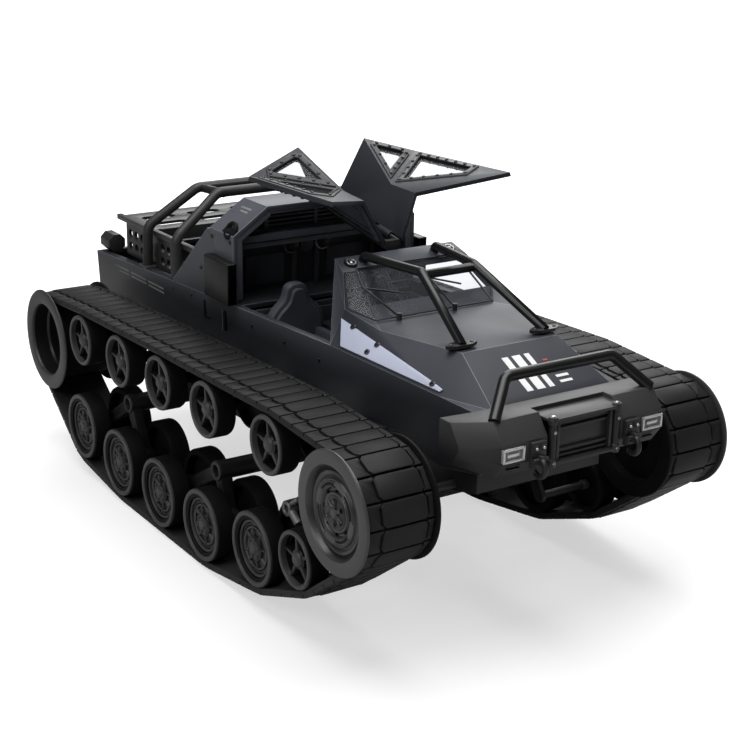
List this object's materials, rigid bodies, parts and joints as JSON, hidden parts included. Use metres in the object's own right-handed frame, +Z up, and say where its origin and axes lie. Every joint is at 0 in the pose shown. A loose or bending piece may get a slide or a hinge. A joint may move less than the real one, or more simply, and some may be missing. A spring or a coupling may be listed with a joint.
{
  "type": "tracked vehicle chassis",
  "caption": "Tracked vehicle chassis with lug-tread belts, sprockets, road wheels, rollers, a cab with two gull-wing doors, a bumper, a roll cage and a slotted rack.",
  "frame": {"origin": "on the ground under the middle of the bounding box", "axes": "+X forwards to the bumper, +Y to the vehicle's left, +Z up"},
  "size_m": [0.4112, 0.2158, 0.2091],
  "materials": {
    "body_paint": "satin dark slate grey",
    "black_plastic": "satin black",
    "track_rubber": "matte moulded rubber",
    "wheel_plastic": "satin black",
    "tyre_rubber": "matte rubber tyre",
    "glass": "clear",
    "lamp_lens": "clear ribbed",
    "side_plate": "satin pale blue grey",
    "steel": "bright",
    "interior": "matte blue grey",
    "motor_metal": "plain",
    "battery_wrap": "shrink wrap"
  },
  "bodies": {
    "root": {"chassis_tub": "black_plastic", "body_shell": "body_paint", "cab_cowl": "body_paint", "windscreen_glass": "glass", "windscreen_guard": "black_plastic", "wipers": "black_plastic", "header_caps": "steel", "side_plates": "side_plate", "rear_bulkhead": "body_paint", "intake_scoops": "body_paint", "lifting_eyes": "black_plastic", "rear_roll_cage": "black_plastic", "bed_rack": "black_plastic", "rear_lamps": "black_plastic", "front_bumper": "black_plastic", "winch": "black_plastic", "head_lamps": "lamp_lens", "bull_bar": "black_plastic", "shackles": "black_plastic", "cabin_tub": "interior", "seats": "interior", "roof_spine": "black_plastic", "suspension_arms": "black_plastic", "wheel_axles": "steel", "drive_motors": "motor_metal", "battery_pack": "battery_wrap", "right_track": "track_rubber", "left_track": "track_rubber"},
    "right_rear_idler": {"right_rear_idler": "wheel_plastic"},
    "right_drive_sprocket": {"right_drive_sprocket": "wheel_plastic"},
    "right_top_roller_1": {"right_top_roller_1": "wheel_plastic"},
    "right_top_roller_2": {"right_top_roller_2": "wheel_plastic"},
    "right_top_roller_3": {"right_top_roller_3": "wheel_plastic"},
    "right_top_roller_4": {"right_top_roller_4": "wheel_plastic"},
    "right_top_roller_5": {"right_top_roller_5": "wheel_plastic"},
    "right_road_wheel_1": {"right_road_wheel_1": "tyre_rubber"},
    "right_road_wheel_2": {"right_road_wheel_2": "tyre_rubber"},
    "right_road_wheel_3": {"right_road_wheel_3": "tyre_rubber"},
    "right_road_wheel_4": {"right_road_wheel_4": "tyre_rubber"},
    "right_road_wheel_5": {"right_road_wheel_5": "tyre_rubber"},
    "right_front_small_wheel": {"right_front_small_wheel": "wheel_plastic"},
    "left_rear_idler": {"left_rear_idler": "wheel_plastic"},
    "left_drive_sprocket": {"left_drive_sprocket": "wheel_plastic"},
    "left_top_roller_1": {"left_top_roller_1": "wheel_plastic"},
    "left_top_roller_2": {"left_top_roller_2": "wheel_plastic"},
    "left_top_roller_3": {"left_top_roller_3": "wheel_plastic"},
    "left_top_roller_4": {"left_top_roller_4": "wheel_plastic"},
    "left_top_roller_5": {"left_top_roller_5": "wheel_plastic"},
    "left_road_wheel_1": {"left_road_wheel_1": "tyre_rubber"},
    "left_road_wheel_2": {"left_road_wheel_2": "tyre_rubber"},
    "left_road_wheel_3": {"left_road_wheel_3": "tyre_rubber"},
    "left_road_wheel_4": {"left_road_wheel_4": "tyre_rubber"},
    "left_road_wheel_5": {"left_road_wheel_5": "tyre_rubber"},
    "left_front_small_wheel": {"left_front_small_wheel": "wheel_plastic"},
    "right_door": {"right_door": "body_paint", "right_window_frames": "black_plastic", "right_door_glass": "glass"},
    "left_door": {"left_door": "body_paint", "left_window_frames": "black_plastic", "left_door_glass": "glass"}
  },
  "joints": [
    {"name": "right_rear_idler_spin", "type": "hinge", "parent": "root", "child": "right_rear_idler", "pos_m": [-0.175, -0.0882, 0.0712], "axis": [0, 1, 0], "continuous": true},
    {"name": "right_drive_sprocket_spin", "type": "hinge", "parent": "root", "child": "right_drive_sprocket", "pos_m": [0.155, -0.0882, 0.0797], "axis": [0, 1, 0], "continuous": true},
    {"name": "right_top_roller_1_spin", "type": "hinge", "parent": "root", "child": "right_top_roller_1", "pos_m": [-0.1231, -0.0882, 0.0844], "axis": [0, 1, 0], "continuous": true},
    {"name": "right_top_roller_2_spin", "type": "hinge", "parent": "root", "child": "right_top_roller_2", "pos_m": [-0.0717, -0.0882, 0.0861], "axis": [0, 1, 0], "continuous": true},
    {"name": "right_top_roller_3_spin", "type": "hinge", "parent": "root", "child": "right_top_roller_3", "pos_m": [-0.0211, -0.0882, 0.0884], "axis": [0, 1, 0], "continuous": true},
    {"name": "right_top_roller_4_spin", "type": "hinge", "parent": "root", "child": "right_top_roller_4", "pos_m": [0.0315, -0.0882, 0.0898], "axis": [0, 1, 0], "continuous": true},
    {"name": "right_top_roller_5_spin", "type": "hinge", "parent": "root", "child": "right_top_roller_5", "pos_m": [0.0944, -0.0882, 0.0917], "axis": [0, 1, 0], "continuous": true},
    {"name": "right_road_wheel_1_spin", "type": "hinge", "parent": "root", "child": "right_road_wheel_1", "pos_m": [-0.1266, -0.0882, 0.03], "axis": [0, 1, 0], "continuous": true},
    {"name": "right_road_wheel_2_spin", "type": "hinge", "parent": "root", "child": "right_road_wheel_2", "pos_m": [-0.0761, -0.0882, 0.0241], "axis": [0, 1, 0], "continuous": true},
    {"name": "right_road_wheel_3_spin", "type": "hinge", "parent": "root", "child": "right_road_wheel_3", "pos_m": [-0.0247, -0.0882, 0.0241], "axis": [0, 1, 0], "continuous": true},
    {"name": "right_road_wheel_4_spin", "type": "hinge", "parent": "root", "child": "right_road_wheel_4", "pos_m": [0.0256, -0.0882, 0.0241], "axis": [0, 1, 0], "continuous": true},
    {"name": "right_road_wheel_5_spin", "type": "hinge", "parent": "root", "child": "right_road_wheel_5", "pos_m": [0.08, -0.0882, 0.0323], "axis": [0, 1, 0], "continuous": true},
    {"name": "right_front_small_wheel_spin", "type": "hinge", "parent": "root", "child": "right_front_small_wheel", "pos_m": [0.121, -0.0882, 0.043], "axis": [0, 1, 0], "continuous": true},
    {"name": "left_rear_idler_spin", "type": "hinge", "parent": "root", "child": "left_rear_idler", "pos_m": [-0.175, 0.0882, 0.0712], "axis": [0, 1, 0], "continuous": true},
    {"name": "left_drive_sprocket_spin", "type": "hinge", "parent": "root", "child": "left_drive_sprocket", "pos_m": [0.155, 0.0882, 0.0797], "axis": [0, 1, 0], "continuous": true},
    {"name": "left_top_roller_1_spin", "type": "hinge", "parent": "root", "child": "left_top_roller_1", "pos_m": [-0.1231, 0.0882, 0.0844], "axis": [0, 1, 0], "continuous": true},
    {"name": "left_top_roller_2_spin", "type": "hinge", "parent": "root", "child": "left_top_roller_2", "pos_m": [-0.0717, 0.0882, 0.0861], "axis": [0, 1, 0], "continuous": true},
    {"name": "left_top_roller_3_spin", "type": "hinge", "parent": "root", "child": "left_top_roller_3", "pos_m": [-0.0211, 0.0882, 0.0884], "axis": [0, 1, 0], "continuous": true},
    {"name": "left_top_roller_4_spin", "type": "hinge", "parent": "root", "child": "left_top_roller_4", "pos_m": [0.0315, 0.0882, 0.0898], "axis": [0, 1, 0], "continuous": true},
    {"name": "left_top_roller_5_spin", "type": "hinge", "parent": "root", "child": "left_top_roller_5", "pos_m": [0.0944, 0.0882, 0.0917], "axis": [0, 1, 0], "continuous": true},
    {"name": "left_road_wheel_1_spin", "type": "hinge", "parent": "root", "child": "left_road_wheel_1", "pos_m": [-0.1266, 0.0882, 0.03], "axis": [0, 1, 0], "continuous": true},
    {"name": "left_road_wheel_2_spin", "type": "hinge", "parent": "root", "child": "left_road_wheel_2", "pos_m": [-0.0761, 0.0882, 0.0241], "axis": [0, 1, 0], "continuous": true},
    {"name": "left_road_wheel_3_spin", "type": "hinge", "parent": "root", "child": "left_road_wheel_3", "pos_m": [-0.0247, 0.0882, 0.0241], "axis": [0, 1, 0], "continuous": true},
    {"name": "left_road_wheel_4_spin", "type": "hinge", "parent": "root", "child": "left_road_wheel_4", "pos_m": [0.0256, 0.0882, 0.0241], "axis": [0, 1, 0], "continuous": true},
    {"name": "left_road_wheel_5_spin", "type": "hinge", "parent": "root", "child": "left_road_wheel_5", "pos_m": [0.08, 0.0882, 0.0323], "axis": [0, 1, 0], "continuous": true},
    {"name": "left_front_small_wheel_spin", "type": "hinge", "parent": "root", "child": "left_front_small_wheel", "pos_m": [0.121, 0.0882, 0.043], "axis": [0, 1, 0], "continuous": true},
    {"name": "right_door_hinge", "type": "hinge", "parent": "root", "child": "right_door", "pos_m": [0.0423, -0.0042, 0.1653], "axis": [-0.9878, 0, 0.1557], "range_deg": [-63, 11]},
    {"name": "left_door_hinge", "type": "hinge", "parent": "root", "child": "left_door", "pos_m": [0.0423, 0.0042, 0.1653], "axis": [0.9878, 0, -0.1557], "range_deg": [-68, 6]}
  ],
  "couplings": [
    {"joint": "right_rear_idler_spin", "follows": "right_drive_sprocket_spin", "ratio": 0.948},
    {"joint": "right_top_roller_1_spin", "follows": "right_drive_sprocket_spin", "ratio": 1.549},
    {"joint": "right_top_roller_2_spin", "follows": "right_drive_sprocket_spin", "ratio": 1.549},
    {"joint": "right_top_roller_3_spin", "follows": "right_drive_sprocket_spin", "ratio": 1.549},
    {"joint": "right_top_roller_4_spin", "follows": "right_drive_sprocket_spin", "ratio": 1.549},
    {"joint": "right_top_roller_5_spin", "follows": "right_drive_sprocket_spin", "ratio": 1.549},
    {"joint": "right_road_wheel_1_spin", "follows": "right_drive_sprocket_spin", "ratio": 1.197},
    {"joint": "right_road_wheel_2_spin", "follows": "right_drive_sprocket_spin", "ratio": 1.197},
    {"joint": "right_road_wheel_3_spin", "follows": "right_drive_sprocket_spin", "ratio": 1.197},
    {"joint": "right_road_wheel_4_spin", "follows": "right_drive_sprocket_spin", "ratio": 1.197},
    {"joint": "right_road_wheel_5_spin", "follows": "right_drive_sprocket_spin", "ratio": 1.197},
    {"joint": "right_front_small_wheel_spin", "follows": "right_drive_sprocket_spin", "ratio": 1.58},
    {"joint": "left_rear_idler_spin", "follows": "left_drive_sprocket_spin", "ratio": 0.948},
    {"joint": "left_top_roller_1_spin", "follows": "left_drive_sprocket_spin", "ratio": 1.549},
    {"joint": "left_top_roller_2_spin", "follows": "left_drive_sprocket_spin", "ratio": 1.549},
    {"joint": "left_top_roller_3_spin", "follows": "left_drive_sprocket_spin", "ratio": 1.549},
    {"joint": "left_top_roller_4_spin", "follows": "left_drive_sprocket_spin", "ratio": 1.549},
    {"joint": "left_top_roller_5_spin", "follows": "left_drive_sprocket_spin", "ratio": 1.549},
    {"joint": "left_road_wheel_1_spin", "follows": "left_drive_sprocket_spin", "ratio": 1.197},
    {"joint": "left_road_wheel_2_spin", "follows": "left_drive_sprocket_spin", "ratio": 1.197},
    {"joint": "left_road_wheel_3_spin", "follows": "left_drive_sprocket_spin", "ratio": 1.197},
    {"joint": "left_road_wheel_4_spin", "follows": "left_drive_sprocket_spin", "ratio": 1.197},
    {"joint": "left_road_wheel_5_spin", "follows": "left_drive_sprocket_spin", "ratio": 1.197},
    {"joint": "left_front_small_wheel_spin", "follows": "left_drive_sprocket_spin", "ratio": 1.58}
  ]
}
